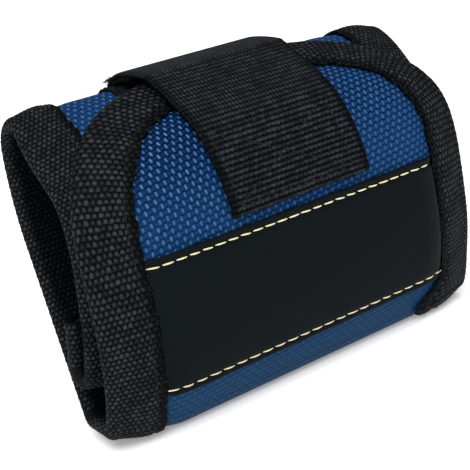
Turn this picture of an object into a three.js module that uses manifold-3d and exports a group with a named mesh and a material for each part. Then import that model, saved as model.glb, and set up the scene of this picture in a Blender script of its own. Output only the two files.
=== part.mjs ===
// A magnetic wristband, rolled up and held by its strap. Millimetres, +Z up, the label faces -Y.
// The band is drawn flat, as a width, a length and a depth, and then bent round the roll.
import * as THREE from 'three';
import { mergeVertices } from 'three/addons/utils/BufferGeometryUtils.js';
import loadManifold from 'manifold-3d';

const wasm = await loadManifold();
wasm.setup();

const { degToRad } = THREE.MathUtils;

// Layers of the band, from its outer face inwards
const COVER = 0.7;
const LINING = 0.6;
const CORE = 5.0;
const GAP = 0.2;
const BINDING = 0.7;

// Outline of the band
const HALF_WIDTH = 49.6;
const LIP = 9.8;
const LIP_SHARES = [1, 0.66, 0.33, 0];
const CORNER = 38.4;
const PILLOW = 16;
const RIM_DIP = 3.3;
const PAD_INSET = 11;
const PAD_STOP = 3;
const SWELL_SHARE = 0.9;

// How the folded binding is rounded at the rim
const RIM = { bulge: 1.3, round: 0.7, shoulder: 0.3, top: 1, bottom: 0.8, heel: 0.2 };

// The roll seen from its end: [length, turn in degrees], from the tongue's tip to the inner end
const TIP = { x: -2.3, y: 0.705, z: 71.5987, heading: degToRad(210) };
const FRONT_RUNS = [[14, 8], [14, 33], [14, 17], [14, 4], [14, 16], [8, 10]];
const BOTTOM_RUNS = [[7.6, 62], [8, 0], [8, 65]];
const BACK_RUNS = [[38.5, 6], [20, 23], [3, 6]];
const TOP_RUNS = [[15.4, 110]];
const INNER_RUNS = [[17.5, 9], [10.5, 33], [12, 17], [13.5, 6], [9, 10]];
const END_RUNS = [[21.4, 182], [10, -8]];
const ROLL_RUNS = [FRONT_RUNS, BOTTOM_RUNS, BACK_RUNS, TOP_RUNS, INNER_RUNS, END_RUNS].flat();
const FOLD_LINE = lengthOf(FRONT_RUNS);
const TOP_FOLD = lengthOf([FRONT_RUNS, BOTTOM_RUNS, BACK_RUNS].flat());
const BAND_END = lengthOf(ROLL_RUNS);
const CUT = 0.15;

// How far the layers are rolled askew at the top fold
const DRIFT = 4.6;

// Label, strap and loop strip, by where they lie on the band
const LABEL = { from: 41, to: 71, half: HALF_WIDTH - LIP - 1.5 * GAP, thick: 0.8 };
const STRAP = { left: -18.1, right: 19.9, from: 1.5, to: 38.5, lift: 0.3, thick: 1.2 };
const TAIL_RUNS = [[4, -28], [7, -8], [7, -14]];
const HOOK = { from: 9, short: 1, inset: 2, thick: 0.7 };
const LOOP = { left: -26, right: 18, before: 25, after: 19.4, thick: 0.8 };

// Magnets, in rows across the band
const MAGNET = { radius: 7.5, thick: 1.6, slack: 0.3, depth: 3.05, pitch: 24, columns: [-1, 0, 1] };
const FRONT_ROWS = [38, 56];
const ROLL_ROWS = [117, 211.5, 228];

// Facets
const STEP = 10;
const STEP_TURN = 13;
const STEP_LEAST = 1;
const CORNER_STEPS = 10;
const CROWN_STEPS = 4;
const END_STEPS = 8;
const DISC_SIDES = 20;
const WELD = 1e-4;

const cloth = { color: 0x1d4f91, roughness: 0.75, metalness: 0 };
const webbing = { color: 0x17181a, roughness: 0.9, metalness: 0 };
const foam = { color: 0x55585c, roughness: 1, metalness: 0 };
const mesh = { color: 0x101113, roughness: 0.95, metalness: 0 };
const leatherette = { color: 0x14181b, roughness: 0.5, metalness: 0 };
const nickel = { color: 0xb9bcc0, roughness: 0.3, metalness: 1 };

function lengthOf(runs) {
  return runs.reduce((sum, [length]) => sum + length, 0);
}

// A course is a start and its runs; pointOn gives a place on it, so far to the left of the way it goes
function stateOn({ start, runs }, s) {
  let { y, z, heading } = start;
  let left = s;
  for (const [length, degrees] of runs) {
    const part = Math.min(left, length);
    const turn = degToRad(degrees) * part / length;
    const chord = turn === 0 ? part : part * Math.sin(turn / 2) / (turn / 2);
    y += chord * Math.cos(heading + turn / 2);
    z += chord * Math.sin(heading + turn / 2);
    heading += turn;
    left -= part;
    if (left <= 0) {
      break;
    }
  }
  return { y, z, heading };
}

function pointOn(course, x, s, left) {
  const { y, z, heading } = stateOn(course, s);
  return new THREE.Vector3(x, y - left * Math.sin(heading), z + left * Math.cos(heading));
}

const roll = { start: TIP, runs: ROLL_RUNS };

// The layers drift sideways up the back, and back again inside
function drift(s) {
  const k = Math.min(1, Math.max(0, s - FOLD_LINE) / (TOP_FOLD - FOLD_LINE) / 2);
  return TIP.x + DRIFT * Math.sin(Math.PI * k);
}

function bend(x, s, depth) {
  return pointOn(roll, x + drift(s), s, depth);
}

// Where a piece is divided along a course, close enough to follow its turns
function stations(runs, from, to) {
  const places = [from];
  let start = 0;
  for (const [length, degrees] of runs) {
    const count = Math.ceil(Math.max(length / STEP, Math.abs(degrees) / STEP_TURN));
    for (let i = 1; i <= count; i += 1) {
      const s = start + length * i / count;
      if (s > from + STEP_LEAST && s < to - STEP_LEAST) {
        places.push(s);
      }
    }
    start += length;
  }
  return [...places, to];
}

// The tongue's rounded outline: half the width at a distance from the tip, and the distance to the edge
function halfWidth(s) {
  const away = Math.max(0, CORNER - s);
  return HALF_WIDTH - CORNER + Math.sqrt(CORNER ** 2 - away ** 2);
}

function edgeDistance(x, s) {
  const side = Math.abs(x) - (HALF_WIDTH - CORNER);
  const up = CORNER - s;
  if (up > 0) {
    return CORNER - (side > 0 ? Math.hypot(side, up) : up);
  }
  return Math.min(HALF_WIDTH - Math.abs(x), BAND_END - s);
}

// How far the cover dips towards the bound rim
function dip(distance) {
  const k = Math.min(1, Math.max(0, distance) / PILLOW);
  return RIM_DIP * (1 - k * k * (3 - 2 * k));
}

// A closed solid through a row of loops, capped at both ends
function loft(loops, places) {
  const count = loops[0].length;
  const triangles = [];
  for (let i = 0; i + 1 < loops.length; i += 1) {
    for (let j = 0; j < count; j += 1) {
      const a = i * count + j;
      const b = i * count + (j + 1) % count;
      triangles.push(a, b, a + count, b, b + count, a + count);
    }
  }
  const last = (loops.length - 1) * count;
  for (const [a, b, c] of THREE.ShapeUtils.triangulateShape(loops[0], [])) {
    triangles.push(a, c, b);
  }
  for (const [a, b, c] of THREE.ShapeUtils.triangulateShape(loops.at(-1), [])) {
    triangles.push(last + a, last + b, last + c);
  }
  const geometry = new THREE.BufferGeometry().setFromPoints(places.flat());
  geometry.setIndex(volumeOf(places.flat(), triangles) < 0 ? triangles.reverse() : triangles);
  return geometry;
}

function volumeOf(points, triangles) {
  let volume = 0;
  for (let i = 0; i < triangles.length; i += 3) {
    const [a, b, c] = triangles.slice(i, i + 3).map((index) => points[index]);
    volume += a.dot(b.clone().cross(c)) / 6;
  }
  return volume;
}

// A sheet across the band between two depths, each a function of the distance to the edge
function sheet(rows, inset, outer, inner, steps = CROWN_STEPS) {
  const loops = [];
  const places = [];
  for (const s of rows) {
    const half = halfWidth(s) - inset;
    const margin = Math.min(PILLOW, half * SWELL_SHARE);
    const columns = [];
    for (let i = 0; i <= steps; i += 1) {
      columns.push(half - margin * i / steps);
    }
    const across = [...columns.map((x) => -x), ...columns.reverse()];
    const near = across.map((x) => [x, outer(edgeDistance(x, s))]);
    const far = across.map((x) => [x, inner(edgeDistance(x, s))]).reverse();
    const loop = [...near, ...far];
    loops.push(loop.map(([x, depth]) => new THREE.Vector2(x, depth)));
    places.push(loop.map(([x, depth]) => bend(x, s, depth)));
  }
  return loft(loops, places);
}

// A flat strip of even thickness between two sides
function strip(rows, left, right, outer, inner, course = bend) {
  const loop = [[left, outer], [right, outer], [right, inner], [left, inner]];
  const flat = loop.map(([x, depth]) => new THREE.Vector2(x, depth));
  return loft(rows.map(() => flat), rows.map((s) => loop.map(([x, depth]) => course(x, s, depth))));
}

// The binding's folded section, as distances from the edge and depths
function foldedSection() {
  const lip = LIP_SHARES.map((share) => LIP * share);
  const crown = (distance) => dip(distance) - GAP - BINDING;
  const rim = -GAP - BINDING - RIM.bulge;
  const under = CORE + GAP + BINDING;
  const outside = [
    ...lip.map((d) => [d, crown(d)]),
    [rim * RIM.round, crown(0) + RIM.shoulder],
    [rim, crown(0) + RIM.top],
    [rim, under - RIM.bottom],
    [rim * RIM.round, under - RIM.heel],
    [0, under],
    [LIP, under],
  ];
  const inside = [
    [LIP, under - BINDING],
    [-GAP, under - BINDING],
    [-GAP, crown(0) + BINDING],
    ...lip.slice(0, -1).reverse().map((d) => [d, crown(d) + BINDING]),
  ];
  return [...outside, ...inside].reverse();
}

function binding(edges) {
  const section = foldedSection();
  const flat = section.map(([distance, depth]) => new THREE.Vector2(distance, depth));
  const places = edges.map(({ x, s, inX, inS }) =>
    section.map(([distance, depth]) => bend(x + inX * distance, s + inS * distance, depth)));
  return loft(edges.map(() => flat), places);
}

// Lengths of binding: down a long edge, and round the tongue from one front edge to the other
function sideEdge(side, rows) {
  return rows.map((s) => ({ x: side * HALF_WIDTH, s, inX: -side, inS: 0 }));
}

function tongueEdge(rows) {
  const straight = rows.filter((s) => s > CORNER + STEP_LEAST);
  const corner = [];
  for (let i = 0; i <= CORNER_STEPS; i += 1) {
    const angle = Math.PI / 2 * i / CORNER_STEPS;
    corner.push([Math.cos(angle), Math.sin(angle)]);
  }
  const centre = HALF_WIDTH - CORNER;
  const turn = (side) => corner.map(([c, s]) => ({
    x: side * (centre + CORNER * c),
    s: CORNER * (1 - s),
    inX: -side * c,
    inS: s,
  }));
  const leftDown = sideEdge(-1, straight).reverse();
  return [...leftDown, ...turn(-1), ...turn(1).reverse(), ...sideEdge(1, straight)];
}

// Cut pockets out of a solid
function solidOf(geometry) {
  const bare = mergeVertices(new THREE.BufferGeometry()
    .setAttribute('position', geometry.getAttribute('position').clone())
    .setIndex(geometry.getIndex()), WELD);
  return new wasm.Manifold(new wasm.Mesh({
    numProp: 3,
    vertProperties: new Float32Array(bare.getAttribute('position').array),
    triVerts: new Uint32Array(bare.getIndex().array),
  }));
}

function cut(geometry, tools) {
  let solid = solidOf(geometry);
  for (const tool of tools) {
    solid = solid.subtract(solidOf(tool));
  }
  const { vertProperties, triVerts } = solid.getMesh();
  return new THREE.BufferGeometry()
    .setAttribute('position', new THREE.BufferAttribute(vertProperties, 3))
    .setIndex(new THREE.BufferAttribute(triVerts, 1));
}

// A disc lying in the band at a place, its axis square to the cover
function disc(x, s, depth, radius, thick) {
  const { heading } = stateOn(roll, s);
  const geometry = new THREE.CylinderGeometry(radius, radius, thick, DISC_SIDES);
  geometry.rotateX(heading + Math.PI / 2);
  const centre = bend(x, s, depth);
  return geometry.translate(centre.x, centre.y, centre.z);
}

const wristband = new THREE.Group();

function add(name, geometry, look) {
  const piece = new THREE.Mesh(geometry, new THREE.MeshStandardMaterial(look));
  piece.name = name;
  wristband.add(piece);
}

function spots(rows) {
  return rows.flatMap((s) => MAGNET.columns.map((column) => [column * MAGNET.pitch, s]));
}

// The padded layers of one length of the band, with its magnets in their pockets
function panel(name, rows, padRows, magnetRows) {
  const pockets = spots(magnetRows).map(([x, s]) =>
    disc(x, s, CORE / 2, MAGNET.radius + MAGNET.slack, CORE * 2));
  const pad = sheet(padRows, PAD_INSET, (d) => dip(d) + COVER + 2 * GAP, () => CORE - LINING - GAP);
  add(`${name}_cover`, sheet(rows, 0, dip, (d) => dip(d) + COVER), cloth);
  add(`${name}_padding`, cut(pad, pockets), foam);
  add(`${name}_lining`, sheet(rows, 0, () => CORE - LINING, () => CORE, 1), mesh);
  spots(magnetRows).forEach(([x, s], i) => {
    add(`${name}_magnet_${i + 1}`, disc(x, s, MAGNET.depth, MAGNET.radius, MAGNET.thick), nickel);
  });
}

// Rows that follow the tongue's round corners, then the front
function tongueRows(to) {
  const rows = [];
  for (let i = 0; i < CORNER_STEPS; i += 1) {
    rows.push(CORNER * (1 - Math.cos(Math.PI / 2 * i / CORNER_STEPS)));
  }
  return [...rows, ...stations(FRONT_RUNS, CORNER, to)];
}

// Front flap, from the tongue's tip down to the bottom fold
const frontRows = tongueRows(FOLD_LINE - CUT);
const frontPadRows = frontRows.filter((s) => s > PILLOW && s < FOLD_LINE - PAD_STOP);
panel('front', frontRows, frontPadRows, FRONT_ROWS);
add('front_binding', binding(tongueEdge(frontRows)), webbing);

// Roll: bottom fold, back, top fold, inner layer and the turned-in end
const longRows = stations(ROLL_RUNS, FOLD_LINE + CUT, BAND_END - PILLOW);
const rollRows = [...longRows, ...LIP_SHARES.map((share) => BAND_END - LIP * share)];
const rollPadRows = longRows.filter((s) => s > FOLD_LINE + PAD_STOP);
panel('roll', rollRows, rollPadRows, ROLL_ROWS);
add('left_binding', binding(sideEdge(-1, rollRows)), webbing);
add('right_binding', binding(sideEdge(1, rollRows)), webbing);
const endHalf = HALF_WIDTH - LIP - 2 * GAP;
const endEdge = [];
for (let i = 0; i <= END_STEPS; i += 1) {
  endEdge.push({ x: endHalf * (2 * i / END_STEPS - 1), s: BAND_END, inX: 0, inS: -1 });
}
add('end_binding', binding(endEdge), webbing);

// Label panel
const labelRows = stations(FRONT_RUNS, LABEL.from, LABEL.to);
const labelTop = (d) => dip(d) - GAP - LABEL.thick;
add('label_panel', sheet(labelRows, HALF_WIDTH - LABEL.half, labelTop, (d) => dip(d) - GAP), leatherette);

// Loop strip over the top fold
const loopRows = stations(ROLL_RUNS, TOP_FOLD - LOOP.before, TOP_FOLD + LOOP.after);
add('loop_strip', strip(loopRows, LOOP.left, LOOP.right, -GAP - LOOP.thick, -GAP), webbing);

// Strap: its sewn length on the front, and the free tail over the top with hooks under its end
const strapTop = STRAP.lift + STRAP.thick;
const strapRows = stations(FRONT_RUNS, STRAP.from, STRAP.to);
add('strap_base', strip(strapRows, STRAP.left, STRAP.right, -strapTop, -STRAP.lift), webbing);

const crease = stateOn(roll, STRAP.from - 2 * CUT);
const creaseTop = bend(0, STRAP.from - 2 * CUT, -strapTop);
const tailStart = { y: creaseTop.y, z: creaseTop.z, heading: crease.heading - Math.PI };
const tail = { start: tailStart, runs: TAIL_RUNS };
const overTop = (x, s, depth) => pointOn(tail, TIP.x + x, s, -depth);
const tailRows = stations(TAIL_RUNS, 0, lengthOf(TAIL_RUNS));
add('strap_tail', strip(tailRows, STRAP.left, STRAP.right, 0, STRAP.thick, overTop), webbing);

const hookTop = STRAP.thick + GAP;
const hookRows = stations(TAIL_RUNS, HOOK.from, lengthOf(TAIL_RUNS) - HOOK.short);
const hookLeft = STRAP.left + HOOK.inset;
const hookRight = STRAP.right - HOOK.inset;
add('hook_patch', strip(hookRows, hookLeft, hookRight, hookTop, hookTop + HOOK.thick, overTop), webbing);

export default wristband;
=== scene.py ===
# %% [markdown]
# # A magnetic wristband, rolled up
# The real object is a padded strip of blue weave with bound edges, rolled on itself and held by a short
# strap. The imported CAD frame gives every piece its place, and here each soft piece is made again as
# cloth, tape or thread. A piece could be shaped where it lies. Here it is drawn flat instead, as a width
# and a length in millimetres, and then bent round the roll, so that it keeps its true size and its weave.

# %% Load the frame
import math
from collections import namedtuple

import bpy
import numpy as np
from mathutils import Matrix, Vector


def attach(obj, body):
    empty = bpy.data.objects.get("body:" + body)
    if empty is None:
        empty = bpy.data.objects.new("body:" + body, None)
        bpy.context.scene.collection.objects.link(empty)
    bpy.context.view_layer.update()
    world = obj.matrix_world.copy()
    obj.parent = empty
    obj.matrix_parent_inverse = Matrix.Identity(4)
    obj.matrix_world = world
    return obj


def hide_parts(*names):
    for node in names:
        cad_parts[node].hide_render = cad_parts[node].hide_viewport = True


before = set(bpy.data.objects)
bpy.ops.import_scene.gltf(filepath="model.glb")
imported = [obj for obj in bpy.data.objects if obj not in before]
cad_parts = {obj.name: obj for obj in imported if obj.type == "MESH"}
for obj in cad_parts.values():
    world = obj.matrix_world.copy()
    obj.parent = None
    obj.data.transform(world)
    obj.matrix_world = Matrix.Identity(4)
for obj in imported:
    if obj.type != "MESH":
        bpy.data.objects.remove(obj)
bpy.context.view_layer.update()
MM = 0.001
print("nodes in the frame:", len(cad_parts))

# %% [markdown]
# ## The roll
# A roll of thick cloth is a chain of arcs: some long and nearly straight, some tight at the folds. It
# could be one curve drawn by hand. Here each run is a length in millimetres and a turn in degrees, so the
# heading never jumps and the tightest bend is easy to read. A depth is measured inwards from the cover's
# outer face.

# %% Runs of the band
TIP_Y, TIP_Z, TIP_HEADING = 0.705, 71.5987, math.radians(210)
FRONT_RUNS = [(14, 8), (14, 33), (14, 17), (14, 4), (14, 16), (8, 10)]
BOTTOM_RUNS = [(7.6, 62), (8, 0), (8, 65)]
BACK_RUNS = [(38.5, 6), (20, 23), (3, 6)]
TOP_RUNS = [(15.4, 110)]
INNER_RUNS = [(17.5, 9), (10.5, 33), (12, 17), (13.5, 6), (9, 10)]
END_RUNS = [(21.4, 182), (10, -8)]
ROLL_RUNS = FRONT_RUNS + BOTTOM_RUNS + BACK_RUNS + TOP_RUNS + INNER_RUNS + END_RUNS


def length_of(runs):
    return sum(length for length, turn in runs)


FOLD_LINE = length_of(FRONT_RUNS)
TOP_FOLD = length_of(FRONT_RUNS + BOTTOM_RUNS + BACK_RUNS)
BAND_END = length_of(ROLL_RUNS)
print("band length", BAND_END, "mm, folded at", FOLD_LINE, "mm")


# %% Walk along the runs
def walk(start, runs, s):
    """Place and heading at the distances s along a chain of arcs. The first arc also goes on backwards."""
    left = np.asarray(s, dtype=float).copy()
    y = np.full(left.shape, start[0])
    z = np.full(left.shape, start[1])
    heading = np.full(left.shape, start[2])
    for index, (length, degrees) in enumerate(runs):
        part = np.minimum(left, length) if index == 0 else np.clip(left, 0, length)
        turn = math.radians(degrees) * part / length
        chord = part * np.sinc(turn / 2 / math.pi)
        y += chord * np.cos(heading + turn / 2)
        z += chord * np.sin(heading + turn / 2)
        heading += turn
        left = left - part
    return y, z, heading


def along_band(s):
    return walk((TIP_Y, TIP_Z, TIP_HEADING), ROLL_RUNS, s)


fold_z = along_band(np.array([FOLD_LINE]))[1][0]
print("the bottom fold lies", round(fold_z, 2), "mm over the floor")

# %% [markdown]
# ## Bending a flat piece
# The layers were rolled a little askew by hand, and at four places the padded band swells or sags. Each
# could be pushed about with proportional editing. Here each is a smooth hill in the formula that bends
# the flat band, so that cover, tape and thread all follow it together.

# %% Bend
TIP_X = -2.3
DRIFT = 4.6
Hill = namedtuple("Hill", "side start run crest spread rise flare")
LEFT_TOP = Hill(side=-1, start=33, run=19, crest=TOP_FOLD + 9, spread=10, rise=2.8, flare=-1.2)
STRAP_SAG = Hill(side=1, start=6, run=14, crest=TOP_FOLD + 11, spread=10, rise=-1.2, flare=0)
RIGHT_TOP = Hill(side=1, start=34, run=15, crest=TOP_FOLD + 14, spread=14, rise=1.7, flare=2.2)
RIGHT_FOLD = Hill(side=1, start=34, run=14, crest=FOLD_LINE + 1, spread=7, rise=1.2, flare=0)
HILLS = (LEFT_TOP, STRAP_SAG, RIGHT_TOP, RIGHT_FOLD)


def soft_step(value):
    """Zero up to 0, one from 1 on, with a soft rise between them."""
    k = np.clip(value, 0, 1)
    return k * k * (3 - 2 * k)


def ridge(offset, width):
    """One where the offset is nothing, falling softly away on both sides."""
    return np.exp(-((offset / width) ** 2))


def drift(s):
    """How far the layers lie to the side: they drift up the back, and back again inside."""
    share = np.clip((s - FOLD_LINE) / (TOP_FOLD - FOLD_LINE) / 2, 0, 1)
    return TIP_X + DRIFT * np.sin(math.pi * share)


def bend(x, s, depth):
    """Points of the band, in metres, from width, length and depth in millimetres."""
    y, z, heading = along_band(s)
    across = x + drift(s) + 0 * y
    deep = depth + 0 * y
    for hill in HILLS:
        out = soft_step((hill.side * x - hill.start) / hill.run)
        bulge = out * ridge(s - hill.crest, hill.spread)
        across = across + hill.side * hill.flare * bulge
        deep = deep - hill.rise * bulge
    return np.stack([across, y - deep * np.sin(heading), z + deep * np.cos(heading)], axis=-1) * MM


print("tip of the tongue, m:", bend(np.zeros(1), np.zeros(1), 0.0)[0].round(4))

# %% [markdown]
# ## The outline and the pillow
# The tongue ends in two large round corners, the right one tighter. Near every edge the padding thins out
# and the cover dips to the bound rim, which gives the soft edge that catches the light. A sculpt brush
# could press it down. A formula on the distance to the edge gives every layer the same dip.

# %% Outline and dip
HALF_WIDTH = 49.6
LEFT_CORNER, RIGHT_CORNER = 38.4, 34.0
PILLOW = 16
RIM_DIP = 3.3


def half_width(s, corner):
    away = np.maximum(0, corner - s)
    return HALF_WIDTH - corner + np.sqrt(np.maximum(0, corner**2 - away**2))


def across_band(u, s, inset):
    """Widths from the band's left edge to its right one, for u from 0 to 1."""
    left = inset - half_width(s, LEFT_CORNER)
    right = half_width(s, RIGHT_CORNER) - inset
    return left + (right - left) * u


def edge_distance(x, s):
    """How far a point of the flat band lies from its nearest edge."""
    corner = np.where(x < 0, LEFT_CORNER, RIGHT_CORNER)
    side = np.abs(x) - (HALF_WIDTH - corner)
    up = corner - s
    rounded = corner - np.where(side > 0, np.hypot(side, up), up)
    straight = np.minimum(HALF_WIDTH - np.abs(x), BAND_END - s)
    return np.where(up > 0, rounded, straight)


def dip(distance):
    return RIM_DIP * (1 - soft_step(distance / PILLOW))


print("straight part of the tip:", round(2 * HALF_WIDTH - LEFT_CORNER - RIGHT_CORNER, 1), "mm")

# %% [markdown]
# ## Making a sheet
# Every soft piece starts as a flat grid primitive. It could be bent with a curve modifier. Here its
# points are moved to their place on the roll by a formula, and its UV map keeps the flat millimetres, so
# that a weave follows the cloth round every bend.


# %% Grids
def add_grid(name, columns, rows):
    """A flat grid and its two flat coordinates, each from 0 to 1."""
    bpy.ops.object.select_all(action="DESELECT")
    bpy.ops.mesh.primitive_grid_add(x_subdivisions=columns, y_subdivisions=rows, size=1)
    piece = bpy.context.active_object
    piece.name = name
    piece.data.name = name
    spots = np.empty(len(piece.data.vertices) * 3)
    piece.data.vertices.foreach_get("co", spots)
    flat = spots.reshape(-1, 3)[:, :2] + 0.5
    return piece, flat[:, 0], flat[:, 1]


def move_points(mesh, points):
    mesh.vertices.foreach_set("co", np.asarray(points, dtype=np.float32).ravel())


def write_flat(mesh, across, along):
    """Write the flat millimetres of every point to the mesh's UV map."""
    corners = np.empty(len(mesh.loops), dtype=np.int32)
    mesh.loops.foreach_get("vertex_index", corners)
    layer = mesh.uv_layers.active or mesh.uv_layers.new()
    layer.name = "flat_mm"
    flat = np.stack([across, along], axis=-1)[corners]
    layer.data.foreach_set("uv", flat.astype(np.float32).ravel())


def place_grid(piece, points, across, along):
    move_points(piece.data, points)
    write_flat(piece.data, across, along)
    piece.data.update()


# %% Work on a whole mesh
WELD = 1e-6


def edit(piece, *steps):
    """Run edit mode operators on the whole of one piece."""
    bpy.ops.object.select_all(action="DESELECT")
    bpy.context.view_layer.objects.active = piece
    piece.select_set(True)
    bpy.ops.object.mode_set(mode="EDIT")
    bpy.ops.mesh.select_all(action="SELECT")
    for step, options in steps:
        step(**options)
    bpy.ops.object.mode_set(mode="OBJECT")


def turn_over(piece):
    edit(piece, (bpy.ops.mesh.flip_normals, {}))


def thicken(piece, thickness):
    """Give a sheet its thickness, inwards from the face it was drawn on."""
    turn_over(piece)
    wall = piece.modifiers.new("thickness", "SOLIDIFY")
    wall.thickness = thickness * MM
    wall.offset = -1
    bpy.ops.object.modifier_apply(modifier=wall.name)
    bpy.ops.object.shade_smooth()


def close_tube(piece):
    """Weld a grid that was wrapped into a tube, fill its two ends and turn its faces outwards."""
    edit(
        piece,
        (bpy.ops.mesh.remove_doubles, {"threshold": WELD}),
        (bpy.ops.mesh.fill_holes, {"sides": 0}),
        (bpy.ops.mesh.normals_make_consistent, {"inside": False}),
    )
    bpy.ops.object.shade_smooth()


def finish_piece(piece, body, material, slot, *nodes):
    """Give a piece its finish, the body that it moves with and the CAD nodes that it stands for."""
    piece.data.materials.clear()
    piece.data.materials.append(material)
    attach(piece, body)
    if nodes:
        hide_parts(*nodes)
    print(piece.name, "has", len(piece.data.polygons), "faces")
    return piece


# %% [markdown]
# ## Shader helpers
# A finish is a tree of nodes, which could be wired by hand in the shader editor. A few short functions
# add a node, wire it and give back its output, so that each finish below reads like a recipe.


# %% Numbers
def wire(tree, socket, value):
    if isinstance(value, bpy.types.NodeSocket):
        tree.links.new(value, socket)
    else:
        socket.default_value = value


def calc(tree, operation, *values):
    node = tree.nodes.new("ShaderNodeMath")
    node.operation = operation
    for socket, value in zip(node.inputs, values):
        wire(tree, socket, value)
    return node.outputs[0]


def product(tree, first, second):
    return calc(tree, "MULTIPLY", first, second)


def scaled(tree, value, gain, base):
    """The value times the gain, plus the base."""
    return calc(tree, "MULTIPLY_ADD", value, gain, base)


def fade(tree, value, start, end):
    """Zero up to the start, one from the end on, with a soft rise between them."""
    node = tree.nodes.new("ShaderNodeMapRange")
    node.interpolation_type = "SMOOTHSTEP"
    node.inputs["From Min"].default_value = start
    node.inputs["From Max"].default_value = end
    tree.links.new(value, node.inputs["Value"])
    return node.outputs["Result"]


# %% Places and patterns
def flat_place(tree):
    node = tree.nodes.new("ShaderNodeUVMap")
    node.uv_map = "flat_mm"
    return node.outputs[0]


def flat_parts(tree, place):
    """The width and the length of the flat place, in millimetres."""
    node = tree.nodes.new("ShaderNodeSeparateXYZ")
    tree.links.new(place, node.inputs[0])
    return node.outputs["X"], node.outputs["Y"]


def object_place(tree):
    return tree.nodes.new("ShaderNodeTexCoord").outputs["Object"]


def turned(tree, place, degrees):
    """The flat place, turned, for cloth that was cut a little off its grain."""
    node = tree.nodes.new("ShaderNodeMapping")
    node.inputs["Rotation"].default_value[2] = math.radians(degrees)
    tree.links.new(place, node.inputs["Vector"])
    return node.outputs[0]


def wobbled(tree, place, scale, amount):
    """The flat place, pushed about a little, so that no two yarns run quite alike."""
    shift = tree.nodes.new("ShaderNodeTexNoise")
    shift.inputs["Scale"].default_value = scale
    tree.links.new(place, shift.inputs["Vector"])
    pushed = tree.nodes.new("ShaderNodeVectorMath")
    pushed.operation = "MULTIPLY_ADD"
    pushed.inputs[1].default_value = (amount, amount, 0)
    tree.links.new(shift.outputs["Color"], pushed.inputs[0])
    tree.links.new(place, pushed.inputs[2])
    return pushed.outputs[0]


def noise(tree, place, scale, detail):
    node = tree.nodes.new("ShaderNodeTexNoise")
    node.inputs["Scale"].default_value = scale
    node.inputs["Detail"].default_value = detail
    tree.links.new(place, node.inputs["Vector"])
    return node.outputs["Fac"]


# %% Colours and relief
def new_material(name, roughness, shine=0.06):
    material = bpy.data.materials.new(name)
    material.use_nodes = True
    shader = material.node_tree.nodes["Principled BSDF"]
    shader.inputs["Roughness"].default_value = roughness
    shader.inputs["Specular IOR Level"].default_value = shine
    return material, material.node_tree, shader


def mix(tree, factor, first, second):
    """A colour between two, each a socket or three numbers."""
    node = tree.nodes.new("ShaderNodeMix")
    node.data_type = "RGBA"
    wire(tree, node.inputs[0], factor)
    for socket, colour in ((node.inputs[6], first), (node.inputs[7], second)):
        wire(tree, socket, (*colour, 1) if isinstance(colour, tuple) else colour)
    return node.outputs[2]


def colour_ramp(tree, shader, factor, *stops):
    """Colour the shader by a value: each stop is a place on the ramp and its colour."""
    node = tree.nodes.new("ShaderNodeValToRGB")
    bar = node.color_ramp
    while len(bar.elements) < len(stops):
        bar.elements.new(0.5)
    for element, (position, colour) in zip(bar.elements, stops):
        element.position = position
        element.color = (*colour, 1)
    tree.links.new(factor, node.inputs[0])
    tree.links.new(node.outputs[0], shader.inputs["Base Color"])


def bump(tree, shader, height, distance):
    """Relief from a height of 0 to 1, with its distance in millimetres."""
    node = tree.nodes.new("ShaderNodeBump")
    node.inputs["Distance"].default_value = distance * MM
    node.inputs["Strength"].default_value = 1
    tree.links.new(height, node.inputs["Height"])
    tree.links.new(node.outputs[0], shader.inputs["Normal"])


# %% [markdown]
# ## The weave
# Cloth is a pattern of small raised yarns. A picture of it could be used, but it would blur when seen
# from near. One node group makes staggered yarn floats from the flat millimetres instead, and each cloth
# places it with its own pitch. It gives a mask and a height for the floats, a chance value for each yarn,
# and a soft nub for tapes, whose round yarns have no flat float.

# %% Weave group
UNDER_WIDTH, UNDER_LENGTH, UNDER_HEIGHT = 0.35, 0.5, 0.6


def hump(tree, offset, width):
    """One at the middle of a yarn, and zero where the offset reaches the width."""
    spread = calc(tree, "DIVIDE", calc(tree, "ABSOLUTE", offset), width)
    return calc(tree, "MAXIMUM", calc(tree, "SUBTRACT", 1, product(tree, spread, spread)), 0)


def oval(tree, across, along, width, length):
    return product(tree, hump(tree, across, width), hump(tree, along, length))


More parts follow.
